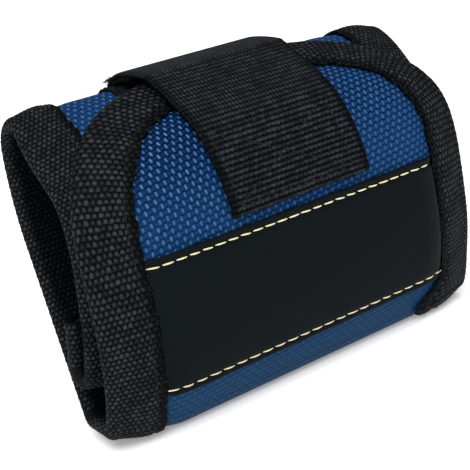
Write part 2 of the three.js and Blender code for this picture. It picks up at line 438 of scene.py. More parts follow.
def make_weave_group():
    tree = bpy.data.node_groups.new("staggered_weave", "ShaderNodeTree")
    face = tree.interface
    face.new_socket("Place", in_out="INPUT", socket_type="NodeSocketVector")
    for name in ("Across", "Along", "Float Width", "Float Length"):
        face.new_socket(name, in_out="INPUT", socket_type="NodeSocketFloat")
    for name in ("Float", "Height", "Chance", "Nub"):
        face.new_socket(name, in_out="OUTPUT", socket_type="NodeSocketFloat")
    given = tree.nodes.new("NodeGroupInput").outputs
    result = tree.nodes.new("NodeGroupOutput").inputs
    width, length = flat_parts(tree, given["Place"])
    row = calc(tree, "DIVIDE", length, given["Along"])
    row_index = calc(tree, "FLOOR", row)
    yarn = calc(tree, "DIVIDE", width, given["Across"])
    column = scaled(tree, calc(tree, "MODULO", row_index, 2), gain=0.5, base=yarn)
    across = calc(tree, "SUBTRACT", calc(tree, "FRACT", column), 0.5)
    along = calc(tree, "SUBTRACT", calc(tree, "FRACT", row), 0.5)
    floats = oval(tree, across, along, given["Float Width"], given["Float Length"])
    between = calc(tree, "SUBTRACT", 0.5, calc(tree, "ABSOLUTE", across))
    under = oval(tree, between, along, UNDER_WIDTH, UNDER_LENGTH)
    height = calc(tree, "MAXIMUM", floats, product(tree, under, UNDER_HEIGHT))
    cell = tree.nodes.new("ShaderNodeCombineXYZ")
    tree.links.new(calc(tree, "FLOOR", column), cell.inputs[0])
    tree.links.new(row_index, cell.inputs[1])
    chance = tree.nodes.new("ShaderNodeTexWhiteNoise")
    chance.noise_dimensions = "2D"
    tree.links.new(cell.outputs[0], chance.inputs["Vector"])
    wave_across = calc(tree, "COSINE", product(tree, yarn, 2 * math.pi))
    wave_along = calc(tree, "COSINE", product(tree, row, math.pi))
    nub = scaled(tree, product(tree, wave_across, wave_along), gain=0.5, base=0.5)
    outputs = {"Float": floats, "Height": height, "Chance": chance.outputs["Value"], "Nub": nub}
    for name, value in outputs.items():
        tree.links.new(value, result[name])
    return tree


WEAVE = make_weave_group()
print("weave group:", len(WEAVE.nodes), "nodes")


# %% Place the weave
def weave_node(tree, place, across, along, float_width, float_length):
    node = tree.nodes.new("ShaderNodeGroup")
    node.node_tree = WEAVE
    tree.links.new(place, node.inputs["Place"])
    node.inputs["Across"].default_value = across
    node.inputs["Along"].default_value = along
    node.inputs["Float Width"].default_value = float_width
    node.inputs["Float Length"].default_value = float_length
    return node.outputs


# %% [markdown]
# ## The blue cover cloth
# The cover is a heavy weave: bright floats of blue yarn, in staggered rows, on dark crossing yarns. One
# even pattern would look printed. So the weave is crisp and dark by the tongue, paler and flatter lower
# down as painted sheen, and dull where it turns under; painted highlights glint on its floats, most on
# the left, where the light comes from.

# %% Blue weave
COVER_WEAVE = (1.94, 1.34)
OFF_GRAIN = 6.4
# Colours of the gaps and yarns: crisp by the tip, paler lower down as painted sheen, lighter on the right
# and dull where the band turns under.
GAP_CRISP, GAP_SHEEN, GAP_UNDER = (0.0002, 0.004, 0.018), (0.0013, 0.0175, 0.06), (0.006, 0.03, 0.076)
YARN_CRISP, YARN_SHEEN = (0.0028, 0.022, 0.076), (0.0085, 0.042, 0.124)
YARN_RIGHT, YARN_UNDER = (0.0095, 0.05, 0.15), (0.0125, 0.045, 0.104)
# Colours of the painted highlights that glint on the floats.
GLINT_DULL, GLINT_BRIGHT = (0.045, 0.135, 0.335), (0.125, 0.215, 0.47)
RIGHT_SHARE = 0.7


def cover_cloth():
    material, tree, shader = new_material("blue_cover_weave", roughness=0.42, shine=0.02)
    place = flat_place(tree)
    width, length = flat_parts(tree, place)
    grain = turned(tree, place, OFF_GRAIN)
    yarn = weave_node(tree, grain, *COVER_WEAVE, float_width=0.4, float_length=0.58)
    glint = weave_node(tree, grain, *COVER_WEAVE, float_width=0.13, float_length=0.46)
    # Painted sheen: lower down the tongue, in soft random patches, the weave is paler and flatter and its
    # glints are weaker.
    pulled = fade(tree, length, start=18, end=38)
    sheen_wash = product(tree, pulled, scaled(tree, noise(tree, place, scale=0.09, detail=3), gain=0.8, base=0.5))
    right = product(tree, fade(tree, width, start=-5, end=35), RIGHT_SHARE)
    turned_under = fade(tree, length, start=64, end=74)
    up_again = fade(tree, length, start=86, end=100)
    under = calc(tree, "SUBTRACT", turned_under, up_again)
    gap = mix(tree, under, mix(tree, sheen_wash, GAP_CRISP, GAP_SHEEN), GAP_UNDER)
    thread = mix(tree, right, mix(tree, sheen_wash, YARN_CRISP, YARN_SHEEN), YARN_RIGHT)
    thread = mix(tree, under, thread, YARN_UNDER)
    rough = calc(tree, "SUBTRACT", noise(tree, place, scale=1.6, detail=3), 0.5)
    uneven = scaled(tree, rough, gain=0.7, base=yarn["Height"])
    cloth = mix(tree, fade(tree, uneven, start=0.1, end=0.8), gap, thread)
    # Painted highlights: the glints are brightest on the left, where the light comes from, and weaker lower
    # down and where the band turns under.
    lit = scaled(tree, fade(tree, width, start=30, end=-30), gain=0.4, base=0.5)
    kept = scaled(tree, under, gain=-0.48, base=scaled(tree, pulled, gain=-0.42, base=1.0))
    shown = product(tree, glint["Float"], product(tree, lit, kept))
    bright = mix(tree, glint["Chance"], GLINT_DULL, GLINT_BRIGHT)
    tree.links.new(mix(tree, shown, cloth, bright), shader.inputs["Base Color"])
    fibres = scaled(tree, noise(tree, place, scale=6, detail=3), gain=0.25, base=yarn["Height"])
    bump(tree, shader, fibres, distance=0.28)
    return material


BLUE = cover_cloth()
print("finish:", BLUE.name)

# %% [markdown]
# ## The black tapes
# The binding, the strap and its hook patch are black woven tapes. They could be three materials made
# apart, but they are the same yarn. So one function makes them all, with the pitch, the grey and the
# relief of each, and with small functions for what changes along a tape.

# %% Black tape
YARN_DARK = (0.0004, 0.0007, 0.001)
MIDDLE_SHARE = 0.3
FLOAT_SHARE, NUB_SHARE = 0.8, 0.2


def as_it_is(tree, place, value):
    return value


def black_tape(name, weave, grey, depth, wander, border, shade=as_it_is, ribs=as_it_is):
    """A ribbed tape.

    weave is the pitch across and along and the size of a float, and grey is the lightest yarn. depth is the
    relief and wander how far the yarns stray, both in millimetres. border gives the distance to the tape's
    edge, and shade and ribs change the tone and the relief from place to place.
    """
    material, tree, shader = new_material(name, roughness=0.55, shine=0.03)
    place = flat_place(tree)
    moved = wobbled(tree, place, scale=0.45, amount=wander)
    yarn = weave_node(tree, moved, *weave)
    soft = product(tree, yarn["Nub"], NUB_SHARE)
    body = ribs(tree, moved, scaled(tree, yarn["Float"], gain=FLOAT_SHARE, base=soft))
    chance = scaled(tree, yarn["Chance"], gain=0.6, base=0.7)
    blotch = scaled(tree, noise(tree, place, scale=0.16, detail=4), gain=0.9, base=0.55)
    tone = product(tree, product(tree, body, chance), blotch)
    fuzz = calc(tree, "SUBTRACT", noise(tree, place, scale=2.6, detail=5), 0.5)
    fuzzy = scaled(tree, fuzz, gain=1.1, base=tone)
    ragged = scaled(tree, noise(tree, place, scale=1.1, detail=3), gain=1.6, base=border(tree, place))
    edge = scaled(tree, fade(tree, ragged, start=1.6, end=3.2), gain=0.62, base=0.38)
    mixed = shade(tree, place, product(tree, fuzzy, edge))
    middle = tuple(MIDDLE_SHARE * part for part in grey)
    colour_ramp(tree, shader, mixed, (0.12, YARN_DARK), (0.5, middle), (1.0, grey))
    fibres = scaled(tree, noise(tree, place, scale=7, detail=3), gain=0.45, base=body)
    bump(tree, shader, fibres, distance=depth)
    return material


# %% Binding tape finish
BINDING_NUB = (1.2, 1.08)
INSIDE_FROM, INSIDE_FULL = 14, 17


def from_lip(tree, place):
    return flat_parts(tree, place)[0]


def darker_inside(tree, place, tone):
    """The part of a folded tape that lies on the lining gets little light."""
    inside = fade(tree, flat_parts(tree, place)[0], INSIDE_FROM, INSIDE_FULL)
    return product(tree, tone, scaled(tree, inside, gain=-0.6, base=1.0))


BINDING = black_tape(
    "black_binding_tape",
    weave=(*BINDING_NUB, 0.47, 0.46),
    grey=(0.029, 0.034, 0.0395),
    depth=0.22,
    wander=0.5,
    border=from_lip,
    shade=darker_inside,
)
print("finish:", BINDING.name)

# %% Strap tape finish
STRAP_NUB = (1.25, 1.18)
STRAP_CENTRE, STRAP_HALF = 0.9, 19.0
GRID_ACROSS = 0.92
GRID_FROM, GRID_FULL = 23, 14
# The tail's flat lengths start at a mark far past those of the sewn length, so that the finish knows it.
TAIL_MARK = 140
TAIL_FROM, TAIL_FULL = TAIL_MARK - 40, TAIL_MARK - 36
UPPER_FLAT, UPPER_LEVEL = 0.2, 0.08
# Painted light: the tail faces up to the overhead light, so its tone is made flatter and lighter.
TAIL_FLAT, TAIL_PAINTED_LIGHT = 0.5, 0.34


def from_selvage(tree, place):
    off = calc(tree, "ABSOLUTE", calc(tree, "SUBTRACT", flat_parts(tree, place)[0], STRAP_CENTRE))
    return calc(tree, "SUBTRACT", STRAP_HALF, off)


def upper_half(tree, place):
    """One on the upper half of the strap's sewn length, above the box seam."""
    return fade(tree, flat_parts(tree, place)[1], GRID_FROM, GRID_FULL)


def grid_above(tree, place, ribs):
    """Above the box seam the strap lies flat, and its ribs and its lengthwise yarns make an even grid."""
    width, length = flat_parts(tree, place)
    yarns = calc(tree, "COSINE", product(tree, width, 2 * math.pi / GRID_ACROSS))
    rows = calc(tree, "COSINE", product(tree, length, 2 * math.pi / STRAP_NUB[1]))
    grid = scaled(tree, yarns, gain=0.3, base=scaled(tree, rows, gain=-0.3, base=0.45))
    return scaled(tree, upper_half(tree, place), gain=calc(tree, "SUBTRACT", grid, ribs), base=ribs)


def lit_tail_flat_upper(tree, place, tone):
    """Painted light on the tail, which faces up to the overhead light: its tone is flatter and lighter. The
    upper half of the sewn length is flatter than the lower.
    """
    tail = fade(tree, flat_parts(tree, place)[1], TAIL_FROM, TAIL_FULL)
    upper = upper_half(tree, place)
    flat = scaled(tree, upper, gain=UPPER_FLAT, base=product(tree, tail, TAIL_FLAT))
    level = scaled(tree, upper, gain=UPPER_LEVEL, base=product(tree, tail, TAIL_PAINTED_LIGHT))
    return scaled(tree, tone, gain=calc(tree, "SUBTRACT", 1, flat), base=level)


STRAP_TAPE = black_tape(
    "black_strap_tape",
    weave=(*STRAP_NUB, 0.75, 0.37),
    grey=(0.0255, 0.0315, 0.0375),
    depth=0.26,
    wander=0.35,
    border=from_selvage,
    shade=lit_tail_flat_upper,
    ribs=grid_above,
)
HOOK_TAPE = black_tape(
    "black_hook_tape",
    weave=(1.1, 1.1, 0.35, 0.4),
    grey=(0.01, 0.0115, 0.013),
    depth=0.5,
    wander=0.7,
    border=from_selvage,
)
print("finishes:", STRAP_TAPE.name, HOOK_TAPE.name)

# %% [markdown]
# ## Leatherette, thread, lining, loops, foam and metal
# These finishes are plainer. The label is smooth with a fine grain, thread is twisted, the lining is a
# fine weave, and brushed loops and foam have no pattern at all. Scanned pictures could give each of them.
# A noise or a wave on the piece's own millimetres is enough, and it never shows a seam.

# %% Leatherette
LEATHER_DARK, LEATHER_LIGHT = (0.0028, 0.0045, 0.0056), (0.0038, 0.0058, 0.0071)


def label_leatherette():
    material, tree, shader = new_material("black_leatherette", roughness=0.5, shine=0.03)
    place = flat_place(tree)
    grain = noise(tree, place, scale=1.6, detail=4)
    colour_ramp(tree, shader, grain, (0.3, LEATHER_DARK), (0.7, LEATHER_LIGHT))
    rough = scaled(tree, noise(tree, place, scale=0.12, detail=2), gain=0.12, base=0.46)
    tree.links.new(rough, shader.inputs["Roughness"])
    bump(tree, shader, grain, distance=0.04)
    return material


LEATHERETTE = label_leatherette()
print("finish:", LEATHERETTE.name)


# %% Sewing thread and lint
def sewing_thread(name, dark, light):
    material, tree, shader = new_material(name, roughness=0.55)
    twist = tree.nodes.new("ShaderNodeTexWave")
    twist.bands_direction = "DIAGONAL"
    twist.inputs["Scale"].default_value = 1.1
    tree.links.new(flat_place(tree), twist.inputs["Vector"])
    colour_ramp(tree, shader, twist.outputs["Fac"], (0.1, dark), (0.7, light))
    bump(tree, shader, twist.outputs["Fac"], distance=0.08)
    return material


CREAM_THREAD = sewing_thread("cream_thread", dark=(0.5, 0.44, 0.22), light=(0.9, 0.83, 0.56))
BLACK_THREAD = sewing_thread("black_thread", dark=(0.003, 0.0035, 0.004), light=(0.016, 0.018, 0.021))
LINT = sewing_thread("grey_lint", dark=(0.03, 0.036, 0.04), light=(0.08, 0.095, 0.105))
print("finishes:", CREAM_THREAD.name, BLACK_THREAD.name, LINT.name)

# %% Lining and loops
LINING_DARK, LINING_LIGHT = (0.0015, 0.0016, 0.002), (0.008, 0.0085, 0.01)
LOOPS_DARK, LOOPS_LIGHT = (0.0012, 0.0014, 0.0018), (0.011, 0.0125, 0.0145)
FINE_SHARE = 0.5


def lining_mesh():
    material, tree, shader = new_material("black_lining", roughness=0.8)
    yarn = weave_node(tree, flat_place(tree), across=1.6, along=0.8, float_width=0.3, float_length=0.55)
    colour_ramp(tree, shader, yarn["Height"], (0.0, LINING_DARK), (0.9, LINING_LIGHT))
    bump(tree, shader, yarn["Height"], distance=0.2)
    return material


def loop_pile():
    material, tree, shader = new_material("black_loop_pile", roughness=0.9)
    place = flat_place(tree)
    fine = product(tree, noise(tree, place, scale=2.6, detail=4), FINE_SHARE)
    pile = scaled(tree, noise(tree, place, scale=0.7, detail=3), gain=0.6, base=fine)
    colour_ramp(tree, shader, pile, (0.38, LOOPS_DARK), (0.72, LOOPS_LIGHT))
    bump(tree, shader, pile, distance=0.9)
    return material


LINING_MESH = lining_mesh()
LOOP_PILE = loop_pile()
print("finishes:", LINING_MESH.name, LOOP_PILE.name)

# %% Foam and nickel
FOAM_DARK, FOAM_LIGHT = (0.05, 0.052, 0.055), (0.1, 0.104, 0.11)
NICKEL_DULL, NICKEL_BRIGHT = (0.42, 0.42, 0.43), (0.56, 0.56, 0.57)


def grey_foam():
    material, tree, shader = new_material("grey_foam", roughness=0.95)
    cells = noise(tree, object_place(tree), scale=900, detail=4)
    colour_ramp(tree, shader, cells, (0.3, FOAM_DARK), (0.7, FOAM_LIGHT))
    bump(tree, shader, cells, distance=0.3)
    return material


def nickel_plate():
    material, tree, shader = new_material("nickel_plate", roughness=0.28)
    shader.inputs["Metallic"].default_value = 1
    cloud = noise(tree, object_place(tree), scale=300, detail=3)
    colour_ramp(tree, shader, cloud, (0.3, NICKEL_DULL), (0.7, NICKEL_BRIGHT))
    return material


FOAM = grey_foam()
NICKEL = nickel_plate()
print("materials:", len(bpy.data.materials))

# %% [markdown]
# ## The cover and the lining
# The cover runs from the tongue's tip down the front. Behind the bottom fold a second length goes on up
# the back, over the top and down inside. It could be one sheet, but the fold is a hinge here, so it is
# cut there. Both lengths stop under the binding, so only a smooth swell of blue shows between the tapes.

# %% Cover
COVER_INSET = 1.5
COVER_STOP = 2
COVER_SINK = 0.02
COVER_THICK = 0.5


def band_sheet(name, start, end, depth, inset, columns, rows):
    """A sheet over the whole width of the band, from one length to another."""
    piece, u, v = add_grid(name, columns, rows)
    s = start + (end - start) * v
    x = across_band(u, s, inset)
    place_grid(piece, bend(x, s, depth(edge_distance(x, s))), x, s)
    return piece


def cover_depth(distance):
    return dip(distance) + COVER_SINK


front_cover = band_sheet(
    "front_cover_cloth", COVER_INSET, FOLD_LINE, cover_depth, COVER_INSET, columns=96, rows=96
)
thicken(front_cover, COVER_THICK)
finish_piece(front_cover, "flap", BLUE, "cover_cloth", "front_cover")
roll_cover = band_sheet(
    "roll_cover_cloth", FOLD_LINE, BAND_END - COVER_STOP, cover_depth, COVER_INSET, columns=96, rows=260
)
thicken(roll_cover, COVER_THICK)
finish_piece(roll_cover, "roll", BLUE, "cover_cloth", "roll_cover")

# %% Lining
CORE = 5.0
LINING = 0.6
LINING_INSET = 0.3


def lining_depth(distance):
    return CORE - LINING + 0 * distance


front_lining = band_sheet(
    "front_lining_cloth", 0.0, FOLD_LINE, lining_depth, LINING_INSET, columns=40, rows=60
)
thicken(front_lining, LINING)
finish_piece(front_lining, "flap", LINING_MESH, "lining_mesh", "front_lining")
roll_lining = band_sheet(
    "roll_lining_cloth", FOLD_LINE, BAND_END, lining_depth, LINING_INSET, columns=40, rows=220
)
thicken(roll_lining, LINING)
finish_piece(roll_lining, "roll", LINING_MESH, "lining_mesh", "roll_lining")

# %% Flat sizes of the cover
COVER_WIDE = 2 * HALF_WIDTH - 2 * COVER_INSET
TONGUE_CUT = (1 - math.pi / 4) * (LEFT_CORNER**2 + RIGHT_CORNER**2)


def declare(piece, wide, long, held, *under, cut=0.0, goes_with=()):
    """Print the flat width and length of a piece of cloth; what was cut off its corners and what it lies on
    are not used.
    """
    print(piece.name, "is", round(wide, 1), "x", round(long, 1), "mm flat")


declare(front_cover, COVER_WIDE, FOLD_LINE - COVER_INSET, "stretched", "front_padding", cut=TONGUE_CUT)
declare(roll_cover, COVER_WIDE, BAND_END - COVER_STOP - FOLD_LINE, "stretched", "roll_padding")

# %% [markdown]
# ## The padding
# The foam lies between the cover and the lining and holds the magnets. It could be a thickened sheet, but
# its upper face follows the pillow and its lower face doesn't. So a grid is wrapped round both faces and
# welded. The foam stops before the bottom fold.

# %% Padding
PAD_INSET = 11
PAD_STOP = 3
PAD_DOWN = 0.8
PAD_GAP = 0.15
FACE_POINTS = 24


def pad_piece(name, start, end, rows):
    """A slab of foam: a grid wrapped round its upper and lower face and closed at both ends."""
    face = np.linspace(-1, 1, FACE_POINTS)
    side = np.concatenate([face, face[::-1], face[:1]])
    is_low = np.arange(len(side)) // FACE_POINTS == 1
    piece, u, v = add_grid(name, len(side) - 1, rows)
    ring = np.rint(u * (len(side) - 1)).astype(int)
    s = start + (end - start) * v
    x = across_band((side[ring] + 1) / 2, s, PAD_INSET)
    upper = dip(edge_distance(x, s)) + PAD_DOWN
    place_grid(piece, bend(x, s, np.where(is_low[ring], CORE - LINING - PAD_GAP, upper)), x, s)
    close_tube(piece)
    return piece


front_pad = pad_piece("front_foam", PAD_INSET, FOLD_LINE - PAD_STOP, rows=40)
finish_piece(front_pad, "flap", FOAM, "padding_foam", "front_padding")
roll_pad = pad_piece("roll_foam", FOLD_LINE + PAD_STOP, BAND_END - PAD_INSET, rows=120)
finish_piece(roll_pad, "roll", FOAM, "padding_foam", "roll_padding")

# %% [markdown]
# ## The walls at the fold
# When the flap is opened, the two lengths part at the bottom fold. They could be left open, but then the
# foam would show. So the lining turns in there, and a narrow wall of it closes each length.

# %% Fold walls
WALL_BACK = 0.35
WALL_DOWN = 0.3
WALL_THICK = 0.2
LINING_WIDE = 2 * HALF_WIDTH
ROLL_LONG = BAND_END - FOLD_LINE


def fold_wall(name, line, body):
    wall, u, v = add_grid(name, columns=60, rows=6)
    x = (2 * u - 1) * (HALF_WIDTH - COVER_INSET)
    s = line + 0 * x
    top = cover_depth(edge_distance(x, s)) + WALL_DOWN
    depth = top + (CORE - top) * v
    place_grid(wall, bend(x, s, depth), x, depth)
    thicken(wall, WALL_THICK)
    return finish_piece(wall, body, LINING_MESH, "lining_mesh")


front_wall = fold_wall("front_fold_wall", FOLD_LINE - WALL_BACK, "flap")
roll_wall = fold_wall("roll_fold_wall", FOLD_LINE + WALL_BACK, "roll")
declare(
    front_lining,
    LINING_WIDE,
    FOLD_LINE,
    "stretched",
    "front_padding",
    cut=TONGUE_CUT,
    goes_with=[front_wall],
)
declare(roll_lining, LINING_WIDE, ROLL_LONG, "stretched", "roll_padding", goes_with=[roll_wall])

# %% [markdown]
# ## The edge binding
# The tape is folded over the edge and sewn through, so its section is a C: a lip on the cover, a round
# rim and a lip on the lining. A curve with a bevel profile could carry it, but its section changes along
# the edge. So a grid is wrapped round the section and welded.

# %% Section of the folded tape
LIP = 9.8
TAPE = 0.7
TAPE_GAP = 0.2
LIFT = TAPE_GAP + TAPE
RIM_OUT = 1.3
RIM = LIFT + RIM_OUT
PUFF = 0.7
UNDER = CORE + LIFT
LIP_STEPS = 30
RIM_STEPS = 14
INSIDE_STEPS = 8


def lip_crown(distance):
    """Depth of the tape's face over the cover: it swells between its sewn edge and the rim."""
    return dip(distance) - LIFT - PUFF * np.sin(math.pi * np.clip(distance / LIP, 0, 1))


def run_length(places):
    """The way from the first of a row of places to each of them."""
    return np.concatenate([[0], np.cumsum(np.hypot(*np.diff(places[:, :2], axis=0).T))])


def fold_section():
    """Distances from the edge and depths round the tape, the way round, and how many points lie outside."""
    lip = np.linspace(LIP, 0, LIP_STEPS)
    top = np.stack([lip, lip_crown(lip)], axis=-1)
    angle = np.linspace(0, math.pi, RIM_STEPS + 2)[1:-1]
    middle = (lip_crown(0.0) + UNDER) / 2
    reach = (UNDER - lip_crown(0.0)) / 2
    rim = np.stack([-RIM * np.sin(angle), middle - reach * np.cos(angle)], axis=-1)
    below = np.stack([np.linspace(0, LIP, LIP_STEPS), np.full(LIP_STEPS, UNDER)], axis=-1)
    outside = np.concatenate([top, rim, below])
    back = np.linspace(LIP, 0, INSIDE_STEPS)
    under_in = np.stack([back, np.full(INSIDE_STEPS, UNDER - TAPE)], axis=-1)
    top_in = np.stack([back[::-1], lip_crown(back[::-1]) + TAPE], axis=-1)
    loop = np.concatenate([outside, under_in, top_in, outside[:1]])
    return loop[:, 0], loop[:, 1], run_length(loop), len(outside)


section_girth, section_outside = fold_section()[2:]
BINDING_WIDE = section_girth[section_outside - 1]
print("the binding tape is", BINDING_WIDE.round(1), "mm wide")

# %% [markdown]
# ## The weave of the binding
# The coarse nubs of the tape make a serrated rim against the light. A bump map can't change an outline,
# so here the weave is real relief. The tape is drawn tight round the tip and the corners, where its weave
# opens, and its lip is drawn in on the right where the band folds.

# %% Relief of the tape
RELIEF = 0.17
BINDING_JOIN = 0.4
SEAM = 2.0
SEAM_WIDE, SEAM_DEEP = 0.4, 0.3
FOLD_PULL, PULL_RUN = 8.0, 4.5
TIP_STRETCH = 0.28
CORNER_END, CORNER_EASE = 42, 18
TIP_SWELL, SWELL_RUN = 0.8, 22
LIP_WANDER = ((0.16, 2.3, 0), (0.2, 0.83, 1), (0.2, 0.31, 0))
LIP_RIPPLE = ((0.12, 0.47, 0), (0.1, 0.19, 2))


def waves(along, parts):
    """A sum of sines, each with its height, its rate and its start."""
    return sum(height * np.sin(rate * along + start) for height, rate, start in parts)


def tape_relief(across, along, pitch, join):
    """Ribs of staggered nubs, from 0 to 1; join is how far the nubs of a rib run together."""
    row = math.pi * along / pitch[1]
    column = 2 * math.pi * across / pitch[0]
    nubs = 0.5 + 0.5 * np.cos(column) * np.cos(row)
    return join * np.abs(np.cos(row)) + (1 - join) * nubs


def fold_pull(x, s):
    """How far the lip of the tape on the right is drawn in where the band folds."""
    return np.where(x > 0, FOLD_PULL * ridge(s - FOLD_LINE, PULL_RUN), 0)


def drawn_weave(edges, along):
    """How close the yarns lie across the tape, and the ribs' own lengths, where it is drawn tight."""
    tight = 1 - TIP_STRETCH * np.abs(edges[:, 3])
    corner = np.interp(edges[:, 1], (CORNER_END, CORNER_END + CORNER_EASE), (1 - TIP_STRETCH, 1))
    ribs = np.cumsum(np.diff(along) * np.minimum(tight, corner)[1:])
    return tight, np.concatenate([[0], ribs])


# %% Wrap the tape
def binding_piece(name, edges):
    """Wrap the section along a row of edge places: x, s and the inward direction on the flat band."""
    distance, depth, girth, outside = fold_section()
    along = run_length(edges)
    tight, ribs = drawn_weave(edges, along)
    piece, u, v = add_grid(name, len(distance) - 1, len(along) - 1)
    ring = np.rint(u * (len(distance) - 1)).astype(int)
    row = np.rint(v * (len(along) - 1)).astype(int)
    x, s, in_x, in_s = edges[row].T
    away = distance[ring]
    share = np.clip(away / LIP, 0, 1)
    shown = (ring > 0) & (ring < outside)
    top = ring < LIP_STEPS
    below = (ring >= LIP_STEPS + RIM_STEPS) & (ring < outside)
    rim = shown & ~top & ~below
    weft = girth[ring] * tight[row]
    nubs = RELIEF * (tape_relief(weft, ribs[row], BINDING_NUB, BINDING_JOIN) - 0.5)
    raised = np.where(shown, nubs - SEAM_DEEP * ridge(girth[ring] - SEAM, SEAM_WIDE), 0)
    fuller = TIP_SWELL * np.clip(1 - s / SWELL_RUN, 0, 1)
    high_on_rim = np.interp(ring, [0, LIP_STEPS - 1, LIP_STEPS + RIM_STEPS], [0, 1, 0])
    pulled = np.where(top, fold_pull(x, s), 0) * share**2
    near = away * np.where(rim, 1 + fuller / RIM, 1) - np.where(rim, raised, 0)
    near = near + share**6 * waves(along[row], LIP_WANDER) + pulled
    climb = dip(away) - dip(away + pulled)
    ripple = waves(along[row], LIP_RIPPLE) * np.sin(math.pi * away / LIP)
    deep = depth[ring] - np.where(top, climb + raised + ripple, 0)
    deep = deep + np.where(below, raised, 0) - fuller * high_on_rim
    place_grid(piece, bend(x + in_x * near, s + in_s * near, deep), weft, ribs[row])
    close_tube(piece)
    return piece


def bind(name, edges, body, *under):
    """Make a binding tape along the edges, for the CAD node of that name, and state its flat size."""
    tape = binding_piece(name + "_tape", edges)
    finish_piece(tape, body, BINDING, "edge_binding", name)
    declare(tape, BINDING_WIDE, run_length(edges)[-1], "folded", *under)
    return tape


# %% Bound edges
TAPE_STEP = 0.33


def side_edges(side, start, end):
    """Down one long edge: side is -1 on the left and 1 on the right."""
    s = np.linspace(start, end, int(abs(end - start) / TAPE_STEP))
    return np.stack([0 * s + side * HALF_WIDTH, s, 0 * s - side, 0 * s], axis=-1)


def corner_edges(corner):
    """Round the right corner of the tongue, from the side to the tip."""
    angle = np.linspace(0, math.pi / 2, int(math.pi / 2 * corner / TAPE_STEP))
    x = HALF_WIDTH - corner + corner * np.cos(angle)
    return np.stack([x, corner * (1 - np.sin(angle)), -np.cos(angle), np.sin(angle)], axis=-1)


def tongue_edges():
    """Up the left front edge, round both corners and down the right one."""
    mirror = np.array([-1, 1, -1, 1])
    tip_left, tip_right = LEFT_CORNER - HALF_WIDTH, HALF_WIDTH - RIGHT_CORNER
    middle = np.linspace(tip_left, tip_right, int((tip_right - tip_left) / TAPE_STEP))[1:-1]
    up = side_edges(-1, FOLD_LINE, LEFT_CORNER)[:-1]
    left = corner_edges(LEFT_CORNER) * mirror
    tip = np.stack([middle, 0 * middle, 0 * middle, 0 * middle + 1], axis=-1)
    right = corner_edges(RIGHT_CORNER)[::-1]
    down = side_edges(1, RIGHT_CORNER, FOLD_LINE)[1:]
    return np.concatenate([up, left, tip, right, down])


def end_edges():
    """Across the inner end, between the tapes of the two long edges."""
    half = HALF_WIDTH - LIP - 2 * TAPE_GAP
    x = np.linspace(-half, half, int(2 * half / TAPE_STEP))
    return np.stack([x, 0 * x + BAND_END, 0 * x, 0 * x - 1], axis=-1)


TONGUE = tongue_edges()
LEFT_EDGE = side_edges(-1, FOLD_LINE, BAND_END)
RIGHT_EDGE = side_edges(1, FOLD_LINE, BAND_END)
front_binding = bind("front_binding", TONGUE, "flap", front_cover, front_lining)
bind("left_binding", LEFT_EDGE, "roll", roll_cover, roll_lining)
bind("right_binding", RIGHT_EDGE, "roll", roll_cover, roll_lining)
bind("end_binding", end_edges(), "roll", roll_cover, roll_lining)

# %% [markdown]
# ## The label panel
# A plain strip of leatherette lies across the front and is held by two rows of cream stitches. It could
# be a thin slab, but thread pulls soft material down. So the panel dips along each row, swells slightly
# between them and tucks in at its two short ends.

# %% Label
LABEL_START, LABEL_END = 40.8, 71.0
LABEL_HALF = 40.2
LABEL_THICK = 0.8
LABEL_GAP = 0.1
STITCH_ROWS = (42.4, 69.7)
ROW_WIDE, ROW_DEEP = 0.7, 0.3
LABEL_SWELL = 0.25
TUCK_FROM, TUCK_RUN, TUCK_DEEP = 38.6, 1.2, 0.7
label, u, v = add_grid("label_leatherette", columns=120, rows=90)
s = LABEL_START + (LABEL_END - LABEL_START) * v
x = (2 * u - 1) * LABEL_HALF
pull = sum(ridge(s - row, ROW_WIDE) for row in STITCH_ROWS)
swell = np.clip(np.sin(math.pi * (s - STITCH_ROWS[0]) / (STITCH_ROWS[1] - STITCH_ROWS[0])), 0, 1)
tuck = np.clip((np.abs(x) - TUCK_FROM) / TUCK_RUN, 0, 1)
depth = dip(edge_distance(x, s)) - LABEL_THICK - LABEL_GAP
depth = depth + ROW_DEEP * pull - LABEL_SWELL * swell + TUCK_DEEP * tuck
place_grid(label, bend(x, s, depth), x, s)
thicken(label, LABEL_THICK)
finish_piece(label, "flap", LEATHERETTE, "label_leatherette", "label_panel")
declare(label, 2 * LABEL_HALF, LABEL_END - LABEL_START, "laid", front_cover)

# %% [markdown]
# ## The sewn length of the strap
# A short length of woven tape is sewn to the front with a crossed box seam. The seam could be a bump map,
# but its grooves catch the light from the side. So the ribs, the grooves and the rounded edges are all in
# the grid.

# %% Shape of the strap
STRAP_LEFT, STRAP_RIGHT = STRAP_CENTRE - STRAP_HALF, STRAP_CENTRE + STRAP_HALF
STRAP_WIDE = 2 * STRAP_HALF
STRAP_START, STRAP_END = 1.35, 38.5
STRAP_LIFT, STRAP_THICK = 0.3, 1.2
STRAP_FACE = STRAP_LIFT + STRAP_THICK
SLANT = 1.9
STRAP_JOIN = 0.75
GRID_FLAT = 0.55
SELVAGE_ROUND = 0.4


def slant(s):
    """The strap was sewn on a little askew: it leans to the left towards the top."""
    return -SLANT * np.clip(1 - s / STRAP_END, 0, 1)


def rounding(inside, radius):
    """How far a rounded edge falls, by the distance in from it."""
    return radius * np.exp(-inside / radius)


def strap_relief(x, s, rib):
    """Height over the strap's face: ribs, flatter above the box seam, less what the selvages fall."""
    inside = np.minimum(x - STRAP_LEFT, STRAP_RIGHT - x)
    ribs = tape_relief(x, s, STRAP_NUB, STRAP_JOIN)
    flatter = 1 - GRID_FLAT * soft_step((GRID_FROM - s) / (GRID_FROM - GRID_FULL))
    return rib * flatter * ribs - rounding(inside, SELVAGE_ROUND)


